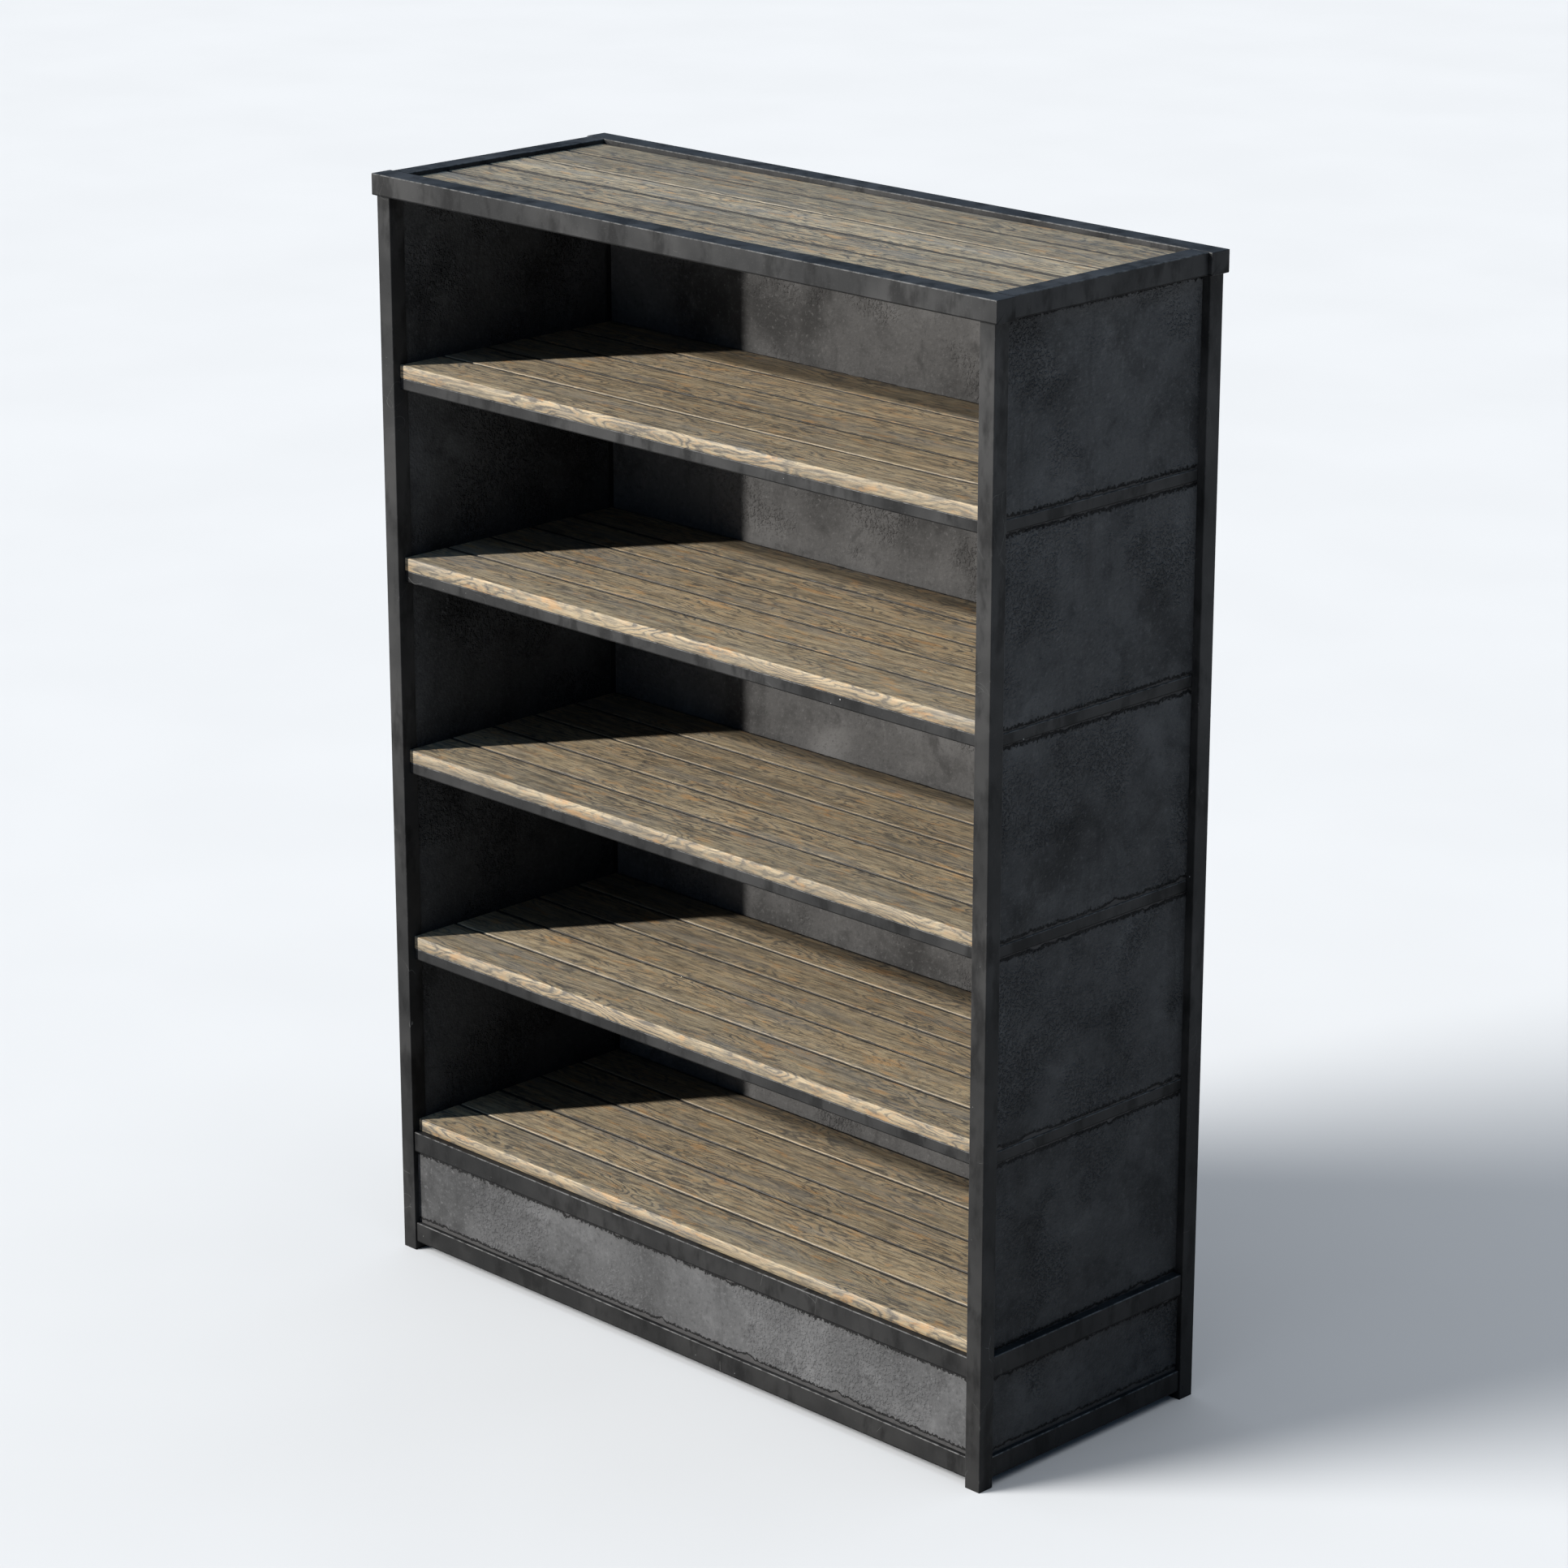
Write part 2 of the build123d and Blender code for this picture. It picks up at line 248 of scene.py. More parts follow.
def coat_material(name, tone, hue_and_light_tint, bumps, at_foot=1.0, at_top=1.0):
    """Mottled dark mineral coat: clouds, drips, pits, lumps in patches, dark flakes at its rims.

    Its colour is tone times a tint that partly stands in for the light's colour, and at_foot and
    at_top dim or lift it by height as painted shade and light; bumps is in metres.
    """
    g = Graph(name)
    place = g.place()
    rim = g.attribute("rim")
    clouds = g.noise(place, 4.6, 6.0, 0.6)
    blotch = g.noise(place, 19.0, 5.0, 0.62, 0.4)
    fine = g.noise(place, 130.0, 3.0, 0.65)
    drips = g.noise(g.stretch(place, (1.0, 1.0, 0.12)), 22.0, 4.0, 0.6)
    patches = g.ramp(g.noise(g.shift(place, (3.1, 1.7, 5.3)), 5.2, 3.0, 0.55), 0.47, 0.62)
    dark = tuple(tone * c * 0.42 for c in hue_and_light_tint)
    mid = tuple(tone * c for c in hue_and_light_tint)
    pale = tuple(tone * c * 1.7 for c in hue_and_light_tint)
    colour = g.mix(g.ramp(clouds, 0.32, 0.52), dark, mid)
    colour = g.mix(g.ramp(clouds, 0.52, 0.74), colour, pale)
    colour = g.mix(g.ramp(blotch, 0.54, 0.72, 0.0, 0.55), colour, dark)
    colour = g.mix(g.ramp(blotch, 0.42, 0.28, 0.0, 0.32), colour, pale)
    colour = g.mix(g.ramp(drips, 0.58, 0.74, 0.0, 0.45), colour, dark)
    colour = g.mix(g.ramp(fine, 0.54, 0.72, 0.0, 0.55), colour, pale)
    colour = g.mix(g.ramp(fine, 0.46, 0.30, 0.0, 0.45), colour, dark)
    # painted shade and light by height: the side panels' coat is darker at the foot, lighter at the
    # top
    colour = g.painted_shade_by_height(colour, place, at_foot, at_top)
    pits = specks(g, place, 60.0, 1.5 * MM, 0.10)
    colour = g.mix(g.calc("MULTIPLY", pits, 0.7), colour, tuple(c * 0.4 for c in dark))
    flake = g.noise(place, 150.0, 4.0, 0.75)
    flaked = g.ramp(g.calc("MULTIPLY_ADD", flake, 1.35, rim), 1.42, 1.50)
    colour = g.mix(flaked, colour, tuple(c * 0.28 for c in dark))
    orange_peel = g.noise(place, 200.0, 2.0, 0.6)
    lumps = g.calc("MULTIPLY", patches, g.ramp(g.noise(place, 185.0, 2.0, 0.6), 0.45, 0.66))
    height = g.calc("MULTIPLY_ADD", lumps, 2.2, orange_peel)
    height = g.calc("MULTIPLY_ADD", flaked, -3.0, height)
    normal = g.bump(height, bumps, 1.0)
    rough = g.ramp(blotch, 0.3, 0.7, 0.50, 0.72)
    return g.finish(Base_Color=colour, Roughness=rough, Normal=normal, Specular_IOR_Level=0.10)


def core_material():
    """Bare dark board where the coat stops short; along the rails it is also painted shade."""
    g = Graph("panel_core_bare_and_gap_shade")
    place = g.place()
    fibres = g.noise(g.stretch(place, (1.0, 1.0, 1.6)), 190.0, 4.0, 0.7)
    stain = g.noise(place, 24.0, 3.0, 0.6)
    colour = g.mix(g.ramp(fibres, 0.35, 0.7), (0.012, 0.0115, 0.0115), (0.028, 0.0265, 0.0265))
    colour = g.mix(g.ramp(stain, 0.45, 0.7, 0.0, 0.5), colour, (0.014, 0.0135, 0.013))
    normal = g.bump(fibres, 0.3 * MM, 0.8)
    rough = g.ramp(fibres, 0.3, 0.7, 0.65, 0.85)
    return g.finish(Base_Color=colour, Roughness=rough, Normal=normal)


def oak_material():
    """Weathered oak: fibres, figure, pores, rusty and grey patches, pale edges from wear, dark cut
    ends, and near-black soiling with painted shade in the gaps between planks and under them.

    The planks' vertices carry its grain_place, pale edge, soiling with painted gap shade, cut_end
    and tone, which is each plank's own tone with painted shade on the front faces.
    """
    g = Graph("oak_weathered")
    place = g.attribute("grain_place", "Vector")
    pale_edge = g.attribute("pale_edge")
    grime_and_gap_shade = g.attribute("grime_and_gap_shade")
    cut_end = g.attribute("cut_end")
    tone = g.attribute("tone")
    fibre = g.noise(g.stretch(place, (20.0, 170.0, 280.0)), 1.0, 6.0, 0.76)
    long_grain = g.noise(g.stretch(place, (4.5, 88.0, 130.0)), 1.0, 4.0, 0.62)
    streak = g.noise(g.stretch(place, (12.0, 62.0, 62.0)), 1.0, 5.0, 0.65)
    broad = g.noise(g.stretch(place, (2.6, 15.0, 15.0)), 1.0, 3.0, 0.55)
    sweep = g.noise(g.stretch(place, (5.0, 24.0, 24.0)), 1.0, 2.0, 0.45)
    ripple = g.noise(g.stretch(place, (46.0, 120.0, 120.0)), 1.0, 3.0, 0.6)
    contour = g.calc("MULTIPLY_ADD", ripple, 0.075, sweep)
    lines = g.calc("PINGPONG", g.calc("MULTIPLY", contour, 15.0), 0.5)
    figured_place = g.stretch(g.shift(place, (4.0, 0.9, 0.1)), (5.0, 16.0, 16.0))
    figured = g.ramp(g.noise(figured_place, 1.0, 2.0), 0.40, 0.60, 0.45)
    late_wood = g.calc("MULTIPLY", g.ramp(lines, 0.05, 0.24, 0.88, 0.0), figured)
    early_wood = g.calc("MULTIPLY", g.ramp(lines, 0.30, 0.48, 0.0, 0.55), figured)
    colour = g.mix(g.ramp(broad, 0.33, 0.68), (0.205, 0.170, 0.114), (0.278, 0.216, 0.131))
    colour = g.mix(g.ramp(streak, 0.42, 0.66, 0.0, 0.5), colour, (0.325, 0.262, 0.175))
    colour = g.mix(g.ramp(long_grain, 0.51, 0.64, 0.0, 0.60), colour, (0.085, 0.070, 0.050))
    colour = g.mix(g.ramp(long_grain, 0.47, 0.35, 0.0, 0.55), colour, (0.435, 0.348, 0.216))
    colour = g.mix(early_wood, colour, (0.400, 0.262, 0.135))
    colour = g.mix(late_wood, colour, (0.080, 0.068, 0.055))
    pores = g.ramp(fibre, 0.53, 0.61, 0.0, 0.60)
    colour = g.mix(pores, colour, (0.060, 0.050, 0.038))
    colour = g.mix(g.ramp(fibre, 0.48, 0.38, 0.0, 0.50), colour, (0.460, 0.372, 0.236))
    greyed_place = g.stretch(g.shift(place, (5.0, 0.3, 0.2)), (3.5, 24.0, 24.0))
    greyed = g.ramp(g.noise(greyed_place, 1.0, 3.0), 0.52, 0.68)
    colour = g.mix(g.calc("MULTIPLY", greyed, 0.42), colour, (0.165, 0.160, 0.148))
    rusty_place = g.stretch(g.shift(place, (9.0, 0.7, 0.4)), (13.0, 48.0, 48.0))
    rusty = g.noise(rusty_place, 1.0, 5.0, 0.68)
    colour = g.mix(g.ramp(rusty, 0.56, 0.67, 0.0, 0.56), colour, (0.43, 0.240, 0.092))
    # each plank's own tone, with painted shade on its front faces
    colour = g.tint(colour, tone)
    chipped = g.noise(g.stretch(place, (60.0, 240.0, 240.0)), 1.0, 3.0, 0.7)
    uneven_place = g.stretch(g.shift(place, (2.0, 0.1, 0.6)), (7.0, 7.0, 7.0))
    uneven = g.noise(uneven_place, 1.0, 3.0, 0.6)
    wear = g.calc("MULTIPLY_ADD", uneven, 0.9, g.calc("MULTIPLY_ADD", chipped, 1.0, pale_edge))
    pale = g.ramp(wear, 1.46, 1.98, 0.0, 0.66)
    colour = g.mix(pale, colour, (0.46, 0.385, 0.28))
    # soiling and painted shade, near black, in the gaps between planks and under them
    grime_and_shade_mask = g.ramp(g.calc("MULTIPLY_ADD", chipped, 0.9, grime_and_gap_shade), 0.72, 1.12, 0.0, 0.95)
    colour = g.mix(grime_and_shade_mask, colour, (0.010, 0.008, 0.006))
    colour = g.mix(g.calc("MULTIPLY", cut_end, 0.6), colour, (0.085, 0.066, 0.047))
    height = g.calc("MULTIPLY_ADD", late_wood, -0.5, fibre)
    height = g.calc("MULTIPLY_ADD", streak, 0.8, height)
    normal = g.bump(height, 0.45 * MM, 0.8)
    rough = g.ramp(streak, 0.3, 0.7, 0.58, 0.78)
    return g.finish(Base_Color=colour, Roughness=rough, Normal=normal)


def screw_material():
    """Zinc plate with turned rings and dull patches."""
    g = Graph("screw_zinc")
    place = g.place()
    brushed = g.noise(g.stretch(place, (1.0, 1.0, 6.0)), 900.0, 3.0, 0.7)
    dull = g.noise(place, 120.0, 3.0, 0.6)
    colour = g.mix(g.ramp(dull, 0.4, 0.68), (0.46, 0.455, 0.44), (0.22, 0.215, 0.205))
    normal = g.bump(brushed, 0.05 * MM, 0.6)
    rough = g.ramp(brushed, 0.3, 0.7, 0.28, 0.5)
    return g.finish(Base_Color=colour, Metallic=1.0, Roughness=rough, Normal=normal)


def cap_material():
    """Black moulded plastic with a fine grain and scuffs."""
    g = Graph("cap_plastic_black")
    place = g.place()
    moulded = g.noise(place, 700.0, 2.0, 0.6)
    scuffs = g.noise(place, 90.0, 4.0, 0.7)
    colour = g.mix(g.ramp(scuffs, 0.55, 0.75), (0.012, 0.012, 0.0125), (0.05, 0.05, 0.049))
    normal = g.bump(moulded, 0.08 * MM, 0.7)
    rough = g.ramp(scuffs, 0.3, 0.7, 0.45, 0.7)
    return g.finish(Base_Color=colour, Roughness=rough, Normal=normal)


def floor_material():
    """Matt pale studio floor."""
    g = Graph("studio_floor")
    mottling = g.noise(g.place(), 1.5, 2.0, 0.5)
    colour = g.mix(g.ramp(mottling, 0.2, 0.8), (0.62, 0.62, 0.615), (0.64, 0.64, 0.635))
    return g.finish(Base_Color=colour, Roughness=0.9)


STEEL = steel_material()
# copies of one coat: sides darker and bluer as painted shade, back lighter and warmer as painted
# sun
FRONT_COAT = coat_material("panel_coat_front", 0.057, (1.0, 1.0, 1.01), 0.5 * MM)
WALL_COAT = coat_material("panel_coat_sides", 0.044, (0.98, 1.0, 1.02), 1.6 * MM, 0.62, 1.20)
BACK_COAT = coat_material("panel_coat_back", 0.077, (1.02, 1.0, 0.985), 0.8 * MM)
CORE = core_material()
OAK = oak_material()
ZINC = screw_material()
PLASTIC = cap_material()


# -------------------------------- pieces in general
def wobble(x, seed, frequency):
    """Smooth repeatable noise from about -1 to 1 along a line, a different one for each seed."""
    return noise.noise(Vector((x * frequency, seed * 7.31, seed * 3.17)))


def piece(bm, name, materials, body, slot, *nodes):
    """Turns a mesh into a shown piece that rides on a body and stands for CAD nodes."""
    bmesh.ops.recalc_face_normals(bm, faces=bm.faces)
    mesh = bpy.data.meshes.new(name)
    bm.to_mesh(mesh)
    bm.free()
    for material in materials:
        mesh.materials.append(material)
    made = bpy.data.objects.new(name, mesh)
    bpy.context.scene.collection.objects.link(made)
    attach(made, body)
    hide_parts(*nodes)


# -------------------------------- steel tubes
def rounded_loop(half_u, half_v, radius, reach):
    """Points round a rounded rectangle, with the starts and ends of its edges' worn bands.

    Each has its place, 1 on a corner arc or 0 off it, and whether an arc goes on from it.
    """
    points = []
    corners = ((1, 1, 0), (-1, 1, 90), (-1, -1, 180), (1, -1, 270))
    for sign_u, sign_v, start in corners:
        centre = Vector((sign_u * (half_u - radius), sign_v * (half_v - radius)))
        arc = []
        for step in range(ARC_STEPS + 1):
            angle = math.radians(start + step * 90 / ARC_STEPS)
            arc.append(centre + radius * Vector((math.cos(angle), math.sin(angle))))
        along_in = Vector((0, -sign_v)) if start in (0, 180) else Vector((-sign_u, 0))
        along_out = Vector((-sign_u, 0)) if start in (0, 180) else Vector((0, -sign_v))
        points.append((arc[0] + along_in * reach, 0.0, False))
        points += [(point, 1.0, index < ARC_STEPS) for index, point in enumerate(arc)]
        points.append((arc[-1] + along_out * reach, 0.0, False))
    return points


def add_tube(bm, low, high, run, wall, radius, closed=False):
    """A rectangular tube between two corners, its long edges rounded and its ends eased.

    Its ends are open, or closed by plates. The ends of an open one are dark seams, and the lower
    edges of a lying tube get the same near-black as painted shade. Its other edges are pale, partly
    from wear and partly as a painted highlight.
    """
    near_edge = bm.verts.layers.float["near_edge"]
    seam_and_underside_shade = bm.verts.layers.float["seam_and_underside_shade"]
    others = [axis for axis in range(3) if axis != run]
    middle = (low + high) / 2
    half = (high - low) / 2
    reach = min(EDGE_REACH, min(half[axis] for axis in others) - radius - LEAST_FLAT)

    def ring(loop, along, at_end):
        made = []
        for point, near, _ in loop:
            place = Vector((0, 0, 0))
            place[run] = along
            place[others[0]] = middle[others[0]] + point[0]
            place[others[1]] = middle[others[1]] + point[1]
            vert = bm.verts.new(place)
            # the lower edges of a lying tube get the seams' near-black as painted shade
            underneath = run != 2 and near and point[1] < 0
            if underneath or (at_end and not closed):
                vert[seam_and_underside_shade] = 1.0
            elif loop is not eased:
                # the pale edge, partly wear and partly painted highlight
                pale_edge = 1.0 if at_end else near
                vert[near_edge] = POST_WEAR_AND_HIGHLIGHT * pale_edge if run == 2 else pale_edge
            made.append(vert)
        return made

    def bridge(a, b, smooth):
        count = len(a)
        for index in range(count):
            following = (index + 1) % count
            face = bm.faces.new((a[index], a[following], b[following], b[index]))
            face.smooth = smooth[index]

    half_u = half[others[0]]
    half_v = half[others[1]]
    outer = rounded_loop(half_u, half_v, radius, reach)
    eased_round = radius - END_CHAMFER / 2
    eased = rounded_loop(half_u - END_CHAMFER, half_v - END_CHAMFER, eased_round, reach)
    smooth = [mark for _, _, mark in outer]
    stations = [
        (low[run], eased, True),
        (low[run] + END_CHAMFER, outer, True),
        (low[run] + EDGE_REACH, outer, False),
        (high[run] - EDGE_REACH, outer, False),
        (high[run] - END_CHAMFER, outer, True),
        (high[run], eased, True),
    ]
    rings = [ring(loop, along, at_end) for along, loop, at_end in stations]
    for a, b in zip(rings, rings[1:]):
        bridge(a, b, smooth)
    if closed:
        bm.faces.new(rings[0])
        bm.faces.new(rings[-1])
        return
    bore = rounded_loop(half_u - wall, half_v - wall, BORE_ROUND, reach)
    inside = [ring(bore, along, True) for along in (low[run], high[run])]
    flat = [False] * len(smooth)
    bridge(inside[0], inside[1], flat)
    bridge(rings[0], inside[0], flat)
    bridge(rings[-1], inside[1], flat)


def new_steel():
    """An empty mesh with the marks that the steel's paint reads."""
    bm = bmesh.new()
    bm.verts.layers.float.new("near_edge")
    bm.verts.layers.float.new("seam_and_underside_shade")
    return bm


def steel_bar(node, run, wall=WALL, radius=TUBE_ROUND, closed=False):
    """The shown piece for a CAD node that is one tube."""
    bm = new_steel()
    low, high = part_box(node)
    add_tube(bm, low, high, run, wall, radius, closed)
    piece(bm, node + "_steel", [STEEL], "carcass", "frame_steel", node)


def add_steel():
    """The posts, rails and cross rails of the carcass."""
    for end in ("front", "rear"):
        for side in ("left", "right"):
            steel_bar(f"post_{end}_{side}", 2)
        steel_bar(f"top_rail_{end}", 0, closed=True)
        steel_bar(f"base_rail_{end}", 0)
        steel_bar(f"plinth_rail_{end}", 0)
    for side in ("left", "right"):
        steel_bar(f"top_rail_{side}", 1)
        steel_bar(f"base_rail_{side}", 1)
        steel_bar(f"plinth_rail_{side}", 1)
    for level in range(1, SHELVES + 1):
        steel_bar(f"cross_rail_left_{level}", 1, THIN_WALL, THIN_TUBE_ROUND)
        steel_bar(f"cross_rail_right_{level}", 1, THIN_WALL, THIN_TUBE_ROUND)
        steel_bar(f"cross_rail_rear_{level}", 0, THIN_WALL, THIN_TUBE_ROUND)


def add_shelf_frame(level):
    """Front and rear rails and the four bearers between them."""
    node = f"shelf_{level}_frame"
    low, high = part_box(node)
    bm = new_steel()
    front = low.y + SHELF_TUBE
    rear = high.y - SHELF_TUBE
    add_tube(bm, low, Vector((high.x, front, high.z)), 0, THIN_WALL, THIN_TUBE_ROUND)
    add_tube(bm, Vector((low.x, rear, low.z)), high, 0, THIN_WALL, THIN_TUBE_ROUND)
    end_bearer = high.x - SHELF_TUBE / 2
    for middle in (-end_bearer, -end_bearer / 3, end_bearer / 3, end_bearer):
        start = Vector((middle - SHELF_TUBE / 2, front, low.z))
        end = Vector((middle + SHELF_TUBE / 2, rear, high.z))
        add_tube(bm, start, end, 1, THIN_WALL, THIN_TUBE_ROUND)
    piece(bm, node + "_steel", [STEEL], f"shelf_{level}", "frame_steel", node)


# -------------------------------- wall panels
def add_core(bm, low, high, across, skins):
    """The bare board, thinner by the coat on each coated side."""
    low, high = low.copy(), high.copy()
    if -1 in skins:
        low[across] += SKIN
    if 1 in skins:
        high[across] -= SKIN
    middle = (low + high) / 2
    made = bmesh.ops.create_cube(bm, size=1.0)["verts"]
    for vert in made:
        vert.co = Vector(vert.co[axis] * (high - low)[axis] + middle[axis] for axis in range(3))


def broken_edge(along, seed, margin):
    """How far the coat stops short of the panel's edge: a flaked margin that is also painted shade,
    with teeth and nicks.
    """
    sway = 1.0 * wobble(along, seed, 9)
    teeth = 1.5 * wobble(along, seed + 11, 130) + 1.8 * wobble(along, seed + 23, 420)
    nick = max(0.0, wobble(along, seed + 31, 48) - 0.24) * 11.0
    return max(LEAST_MARGIN, margin + (sway + teeth + nick) * MM)


def add_skin(bm, low, high, across, side, seed, margins):
    """The coat on one face, a thin sheet whose top and bottom edges have broken away.

    margins are how far it stops short of the panel's bottom and top, on average.
    """
    rim = bm.verts.layers.float["rim"]
    bottom_margin, top_margin = margins
    along = 1 - across
    outer = high[across] if side > 0 else low[across]
    inner = outer - side * SKIN
    count = int((high[along] - low[along]) / COAT_STEP)
    previous = None
    for index in range(count + 1):
        place = low[along] + (high[along] - low[along]) * index / count
        bottom = low.z + broken_edge(place, seed, bottom_margin)
        top = high.z - broken_edge(place, seed + 5, top_margin)
        rim_low = low.z + RIM_REACH
        rim_high = high.z - RIM_REACH
        heights = [(bottom, 1.0), (rim_low, 0.0), (rim_high, 0.0), (top, 1.0)]
        column = []
        for depth in (inner, outer):
            for z, near in heights if depth == outer else (heights[0], heights[-1]):
                spot = Vector((0, 0, z))
                spot[across] = depth
                spot[along] = place
                vert = bm.verts.new(spot)
                vert[rim] = near
                column.append(vert)
        inside_low, inside_high, a, b, c, d = column
        loop = [inside_low, a, b, c, d, inside_high]
        if previous:
            for step in range(len(loop)):
                following = (step + 1) % len(loop)
                corners = (previous[step], previous[following], loop[following], loop[step])
                bm.faces.new(corners).material_index = 1
        else:
            bm.faces.new(loop).material_index = 1
        previous = loop
    bm.faces.new(previous).material_index = 1


def coated_panel(node, across, skins, seed, coat=WALL_COAT, margins=PLINTH_MARGINS):
    """The shown piece for a panel, thin along the axis across and coated on its skins' sides."""
    bm = bmesh.new()
    bm.verts.layers.float.new("rim")
    low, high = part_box(node)
    add_core(bm, low, high, across, skins)
    for side in skins:
        add_skin(bm, low, high, across, side, seed + side * 0.37, margins)
    piece(bm, node + "_coated", [CORE, coat], "carcass", "panel_board", node)


def add_panels():
    """The side panels, coated on both faces, and the plinth's panels, coated outside."""
    for index, (side, outward) in enumerate((("left", -1), ("right", 1))):
        for bay in range(1, BAYS + 1):
            margins = (SIDE_MARGIN, HIDDEN_MARGIN if bay == BAYS else TOP_MARGIN)
            node = f"side_panel_{side}_{bay}"
            coated_panel(node, 0, (-1, 1), 10.0 * index + bay, WALL_COAT, margins)
        coated_panel(f"plinth_panel_{side}", 0, (outward,), 40.0 + index)
    coated_panel("plinth_panel_front", 1, (-1,), 50.0, FRONT_COAT)
    coated_panel("plinth_panel_rear", 1, (1,), 51.0)


# -------------------------------- planks
STATION = 5.0 * MM              # spacing of the sections along a plank
FRONT_ROUND = 3.0 * MM          # worn front arris
FACE_ROUND = 1.6 * MM           # the same where the plank's front face shows
REAR_ROUND = 3.0 * MM           # worn rear arris
REAR_STEPS = 3                  # flats in it
REAR_GRIME_AND_SHADE = 4.5 * MM           # soiling and painted shade along the rear arris, in the gap
FOOT_ROUND = 1.0 * MM           # lower arrises
WORN_BAND = 7.0 * MM            # pale band behind the front arris
TOP_COLUMNS = 9                 # points across the flat of the top
# pale wear and soiling with painted gap shade of each point of the front arris, from face to top
FRONT_ARRIS = ((0.3, 1.0), (0.5, 0.95), (0.8, 0.6), (1.0, 0.1), (0.85, 0.0))
SEED_STEP = 1.37                # between the planks of one deck
MEAN_TONE = 0.90                # of all planks
TONE_SPREAD = 0.38              # how much one plank differs from another
FACE_WEAR = 0.30                # share of that wear on the arrises over shown front faces
FACE_PAINTED_SHADE = 0.73                # painted shade on the front faces, against the tops
BAND_FADE = 4 * MM              # from the pale band to the flat of the top
GRAIN_SHIFT = 3.7               # along the grain, in metres for each step of the seed
PITH_SWAY = 0.055               # how far the pith may lie to either side, in metres
PITH_DEPTH = 0.055              # how far it lies under the plank, in metres, on average
PITH_DEPTH_SPREAD = 0.05        # and how much that may vary
MEAN_BARE = 0.75                # share of the front arris's soiling and painted shade that is gone
BARE_SPREAD = 1.3               # how much that differs between planks
KEPT_GRIME_AND_SHADE = 0.75               # soiling and painted shade on the arris of a plank that has kept it all
BROAD_DIP = 0.30                # depth of the top's broad hollows, in millimetres
FINE_DIP = 0.16                 # and of its fine ones
FACE_DIP = 0.25 * MM            # hollows in the front face
FRONT_SPLIT = Vector((0, 0.5, -0.8))    # where splinters take the front arris, for their depth
REAR_SPLIT = Vector((0, -0.9, -0.6))    # and the rear arris


def plank_section(low, high, in_front):
    """Points round a plank's section from the front foot over the top to the rear foot.

    Each has y, z, its pale wear, its soiling with painted gap shade, and which arris it belongs to.
    A front face that shows has no soiling or shade.
    """
    # soiling and painted gap shade on front faces hidden in the gaps, none on a front face that
    # shows
    face_dirt_and_shade = 0.0 if in_front else 1.0
    front_round = FACE_ROUND if in_front else FRONT_ROUND
    points = [
        (low.y + FOOT_ROUND, low.z, 0.0, 1.0, ""),
        (low.y, low.z + FOOT_ROUND, 0.1, face_dirt_and_shade, ""),
        (low.y, (low.z + high.z) / 2, 0.2, face_dirt_and_shade, ""),
    ]
    for step, (near, dirt_and_shade) in enumerate(FRONT_ARRIS):
        angle = math.radians(step * 90 / (len(FRONT_ARRIS) - 1))
        y = low.y + front_round * (1 - math.cos(angle))
        z = high.z - front_round * (1 - math.sin(angle))
        points.append((y, z, near, dirt_and_shade * face_dirt_and_shade, "front"))
    points.append((low.y + WORN_BAND, high.z, 0.1, 0.0, ""))
    start = low.y + WORN_BAND + BAND_FADE
    end = high.y - REAR_ROUND - REAR_GRIME_AND_SHADE
    for column in range(TOP_COLUMNS):
        y = start + (end - start) * column / (TOP_COLUMNS - 1)
        points.append((y, high.z, 0.0, 0.0, ""))
    points.append((high.y - REAR_ROUND - REAR_GRIME_AND_SHADE * 0.5, high.z, 0.0, 0.50, ""))
    for step in range(REAR_STEPS + 1):
        angle = math.radians(step * 90 / REAR_STEPS)
        y = high.y - REAR_ROUND * (1 - math.sin(angle))
        z = high.z - REAR_ROUND * (1 - math.cos(angle))
        points.append((y, z, 0.1, 1.0, "rear"))
    points.append((high.y, low.z + FOOT_ROUND, 0.0, 1.0, ""))
    points.append((high.y - FOOT_ROUND, low.z, 0.0, 1.0, ""))
    return points


def chip(x, seed):
    """Depth of splinters missing from an arris, in metres."""
    small = max(0.0, wobble(x, seed, 85) - 0.12) * 1.5
    large = max(0.0, wobble(x, seed + 3, 21) - 0.38) * 5.0
    return (small + large + 0.25 * abs(wobble(x, seed + 6, 260))) * MM


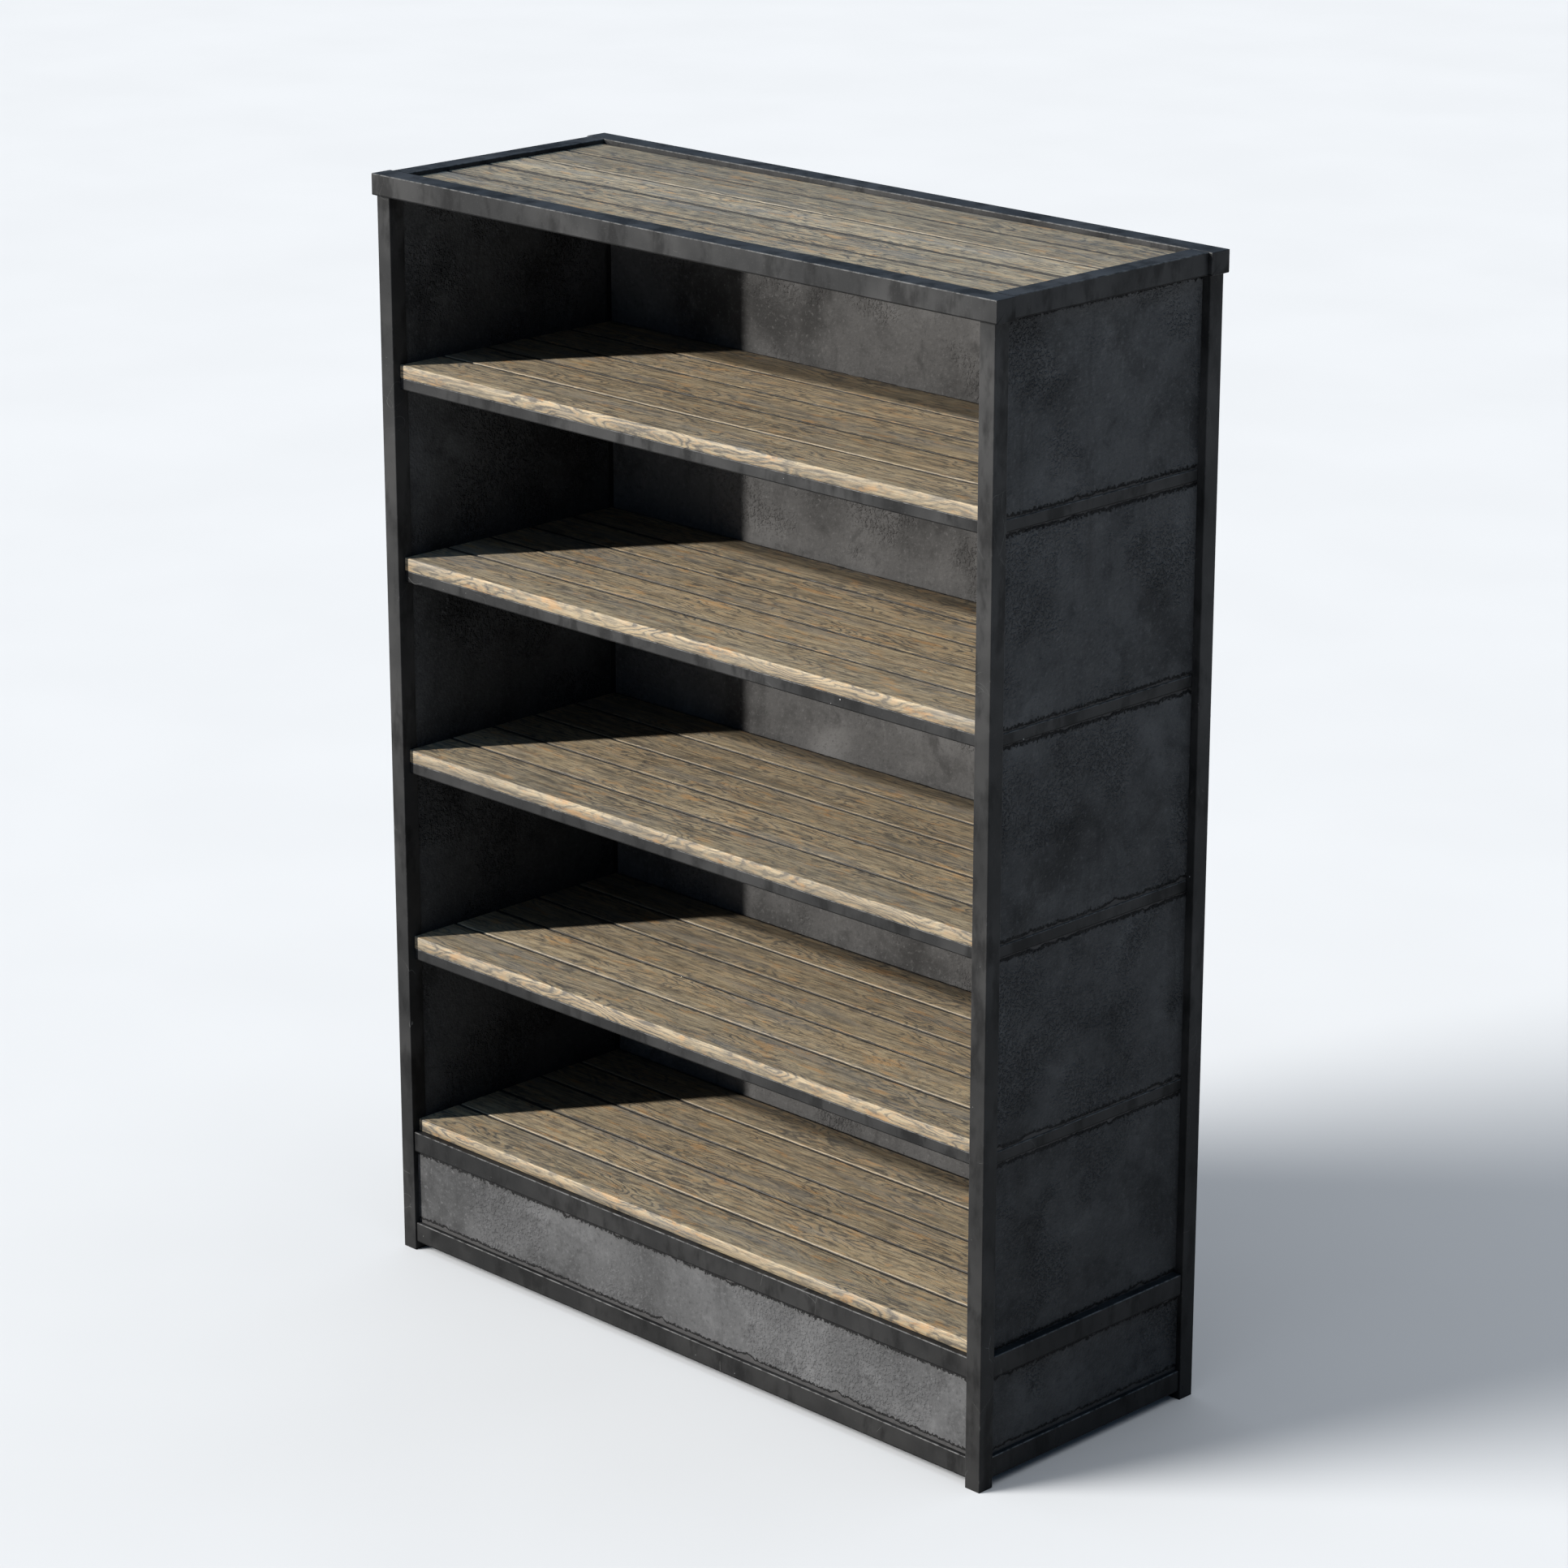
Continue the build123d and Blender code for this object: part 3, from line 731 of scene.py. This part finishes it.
def plank(name, low, high, seed, body, node, in_front):
    """One weathered plank with an uneven top and splintered arrises.

    offset, pith_y and pith_z shift its grain, so that no two planks are alike, and bare is how much
    of the soiling and painted gap shade on its front arris is gone.
    """
    bm = bmesh.new()
    pale_edge = bm.verts.layers.float.new("pale_edge")
    grime_and_gap_shade = bm.verts.layers.float.new("grime_and_gap_shade")
    cut_end = bm.verts.layers.float.new("cut_end")
    tone = bm.verts.layers.float.new("tone")
    grain_place = bm.verts.layers.float_vector.new("grain_place")
    section = plank_section(low, high, in_front)
    pith_y = (low.y + high.y) / 2 + PITH_SWAY * wobble(seed, 1.3, 5.7)
    pith_z = low.z - (PITH_DEPTH + PITH_DEPTH_SPREAD * wobble(seed, 4.1, 3.3))
    offset = GRAIN_SHIFT * seed
    bare = min(1.0, max(0.0, MEAN_BARE + BARE_SPREAD * wobble(seed, 9.4, 4.9)))
    shade = MEAN_TONE * (1.0 + TONE_SPREAD * wobble(seed, 2.6, 8.3))
    count = round((high.x - low.x) / STATION)
    rings = []
    for index in range(count + 1):
        x = low.x + (high.x - low.x) * index / count
        front_chip = chip(x, seed)
        rear_chip = chip(x, seed + 40)
        ring = []
        for y, z, near, dirt_and_shade, arris in section:
            place = Vector((x, y, z))
            if arris == "front":
                place += FRONT_SPLIT * front_chip
            elif arris == "rear":
                place += REAR_SPLIT * rear_chip
            elif z == high.z:
                dip = BROAD_DIP * (1 + noise.noise(Vector((x * 9, y * 60, seed)))) / 2
                dip += FINE_DIP * (1 + noise.noise(Vector((x * 50, y * 240, seed + 5)))) / 2
                place.z -= dip * MM
            elif z > low.z + 2 * FOOT_ROUND:
                place.y += FACE_DIP * abs(wobble(x, seed + 9, 30))
            vert = bm.verts.new(place)
            if arris == "front" and in_front:
                near = near * bare * FACE_WEAR
            elif arris == "front":
                # soiling and painted gap shade on the arris where it is not bare
                dirt_and_shade = min(1.0, dirt_and_shade + KEPT_GRIME_AND_SHADE * (1.0 - bare) * near)
                near *= bare
            on_front_face = y == low.y and not arris
            vert[pale_edge] = near
            vert[grime_and_gap_shade] = dirt_and_shade
            # painted shade: front faces darker than the tops
            vert[tone] = shade * (FACE_PAINTED_SHADE if on_front_face else 1.0)
            vert[grain_place] = Vector((x + offset, y - pith_y, z - pith_z))
            ring.append(vert)
        rings.append(ring)
    size = len(section)
    for a, b in zip(rings, rings[1:]):
        for index in range(size):
            following = (index + 1) % size
            face = bm.faces.new((a[index], a[following], b[following], b[index]))
            face.smooth = index < size - 1
    for ring in (rings[0], rings[-1]):
        cap = []
        for vert in ring:
            twin = bm.verts.new(vert.co)
            twin[cut_end] = 1.0
            twin[tone] = shade
            twin[grain_place] = vert[grain_place]
            cap.append(twin)
        bm.faces.new(cap)
    piece(bm, name, [OAK], body, "oak", node)


def add_deck(node, body, seed):
    """The planks side by side in a deck's box. The top frame hides the front of the top deck."""
    low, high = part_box(node)
    pitch = (high.y - low.y + PLANK_GAP) / PLANKS
    label = node.replace("_boards", "")
    for index in range(PLANKS):
        start = Vector((low.x, low.y + index * pitch, low.z))
        end = Vector((high.x, start.y + pitch - PLANK_GAP, high.z))
        in_front = index == 0 and node != "top_boards"
        name = f"{label}_plank_{index + 1}"
        plank(name, start, end, seed + index * SEED_STEP, body, node, in_front)


# -------------------------------- carried-over CAD nodes
def paint(node, material):
    """Gives a CAD node that stays in view its material."""
    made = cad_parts[node]
    made.data.materials.clear()
    made.data.materials.append(material)


# -------------------------------- camera, light and floor
AZIMUTH = math.radians(45.0)
ELEVATION = math.radians(18.0)
HEIGHTS_AWAY = 4.113                  # the camera's distance, in heights of the bookcase
SENSOR = 36.0
LENS = 109.8
FAR_CLIP = 200.0
KEY_HEADING = math.radians(33.65)     # the way the lights travel, from +Y towards +X
KEY_DROP = math.radians(29.65)        # how steeply each travels down
LOW_DROP = math.radians(12.0)
STRAIGHT_DOWN = math.radians(89.9)
SUNLIGHT = (1.0, 0.97, 0.93)
SKYLIGHT = (0.46, 0.69, 1.0)
WHITE = (1.0, 1.0, 1.0)
SKY = (0.42, 0.66, 1.0, 1.0)
SKY_STRENGTH = 0.20
FLOOR_RADIUS = 90.0
FLOOR_SIDES = 96

# name, drop, strength, softness in degrees, colour
BOOKCASE_SUNS = (
    ("key", KEY_DROP, 4.3, 2.0, SUNLIGHT),
    ("low_fill", LOW_DROP, 4.0, 2.0, SUNLIGHT),
    ("overhead", STRAIGHT_DOWN, 1.5, 70.0, SKYLIGHT),
)
FLOOR_SUNS = (
    ("floor_key", KEY_DROP, 5.6, 28.0, WHITE),
    ("floor_overhead", STRAIGHT_DOWN, 1.4, 90.0, WHITE),
)


def add_camera():
    """The photo's camera, aimed at the middle of the bookcase."""
    data = bpy.data.cameras.new("camera")
    data.sensor_width = SENSOR
    data.lens = LENS
    data.clip_end = FAR_CLIP
    camera = bpy.data.objects.new("camera", data)
    bpy.context.scene.collection.objects.link(camera)
    flat = math.cos(ELEVATION)
    back = Vector((math.sin(AZIMUTH) * flat, -math.cos(AZIMUTH) * flat, math.sin(ELEVATION)))
    centre = (cad_low + cad_high) / 2
    camera.location = centre + back * HEIGHTS_AWAY * (cad_high.z - cad_low.z)
    camera.rotation_mode = "QUATERNION"
    camera.rotation_quaternion = (-back).to_track_quat("-Z", "Y")
    bpy.context.scene.camera = camera


def add_sun(name, drop, strength, softness, colour):
    data = bpy.data.lights.new(name, "SUN")
    data.energy = strength
    data.angle = math.radians(softness)
    data.color = colour
    lamp = bpy.data.objects.new(name, data)
    bpy.context.scene.collection.objects.link(lamp)
    flat = math.cos(drop)
    across = math.sin(KEY_HEADING) * flat
    inwards = math.cos(KEY_HEADING) * flat
    travel = Vector((across, inwards, -math.sin(drop)))
    lamp.rotation_mode = "QUATERNION"
    lamp.rotation_quaternion = travel.to_track_quat("-Z", "Y")
    return lamp


def add_suns(name, suns, floor, state):
    """Suns that light all but the floor, with EXCLUDE, or the floor alone, with INCLUDE."""
    linked = bpy.data.collections.new(name)
    linked.objects.link(floor)
    linked.collection_objects[0].light_linking.link_state = state
    for sun in suns:
        add_sun(*sun).light_linking.receiver_collection = linked


def add_surroundings():
    """The dim blue world, the pale floor and the suns. The floor's own suns cast soft shadows."""
    world = bpy.data.worlds.new("studio")
    world.use_nodes = True
    background = world.node_tree.nodes["Background"]
    background.inputs["Color"].default_value = SKY
    background.inputs["Strength"].default_value = SKY_STRENGTH
    bpy.context.scene.world = world
    mesh = bpy.data.meshes.new("floor")
    bm = bmesh.new()
    bmesh.ops.create_circle(bm, cap_ends=True, segments=FLOOR_SIDES, radius=FLOOR_RADIUS)
    bm.to_mesh(mesh)
    bm.free()
    mesh.materials.append(floor_material())
    floor = bpy.data.objects.new("studio_floor", mesh)
    bpy.context.scene.collection.objects.link(floor)
    add_suns("bookcase_light", BOOKCASE_SUNS, floor, "EXCLUDE")
    add_suns("floor_light", FLOOR_SUNS, floor, "INCLUDE")


# -------------------------------- the whole scene
add_steel()
add_panels()
# the last value in each is a seed, which only has to differ from the others
add_deck("top_boards", "carcass", 3.0)
add_deck("floor_boards", "carcass", 17.0)
for shelf in range(1, SHELVES + 1):
    add_shelf_frame(shelf)
    add_deck(f"shelf_{shelf}_boards", f"shelf_{shelf}", 31.0 + 13.0 * shelf)
    paint(f"shelf_{shelf}_screws", ZINC)
paint("back_panel", BACK_COAT)
paint("deck_bearers", STEEL)
paint("shelf_ledges", STEEL)
paint("foot_caps", PLASTIC)
add_camera()
add_surroundings()
bpy.context.scene.view_settings.view_transform = "Standard"
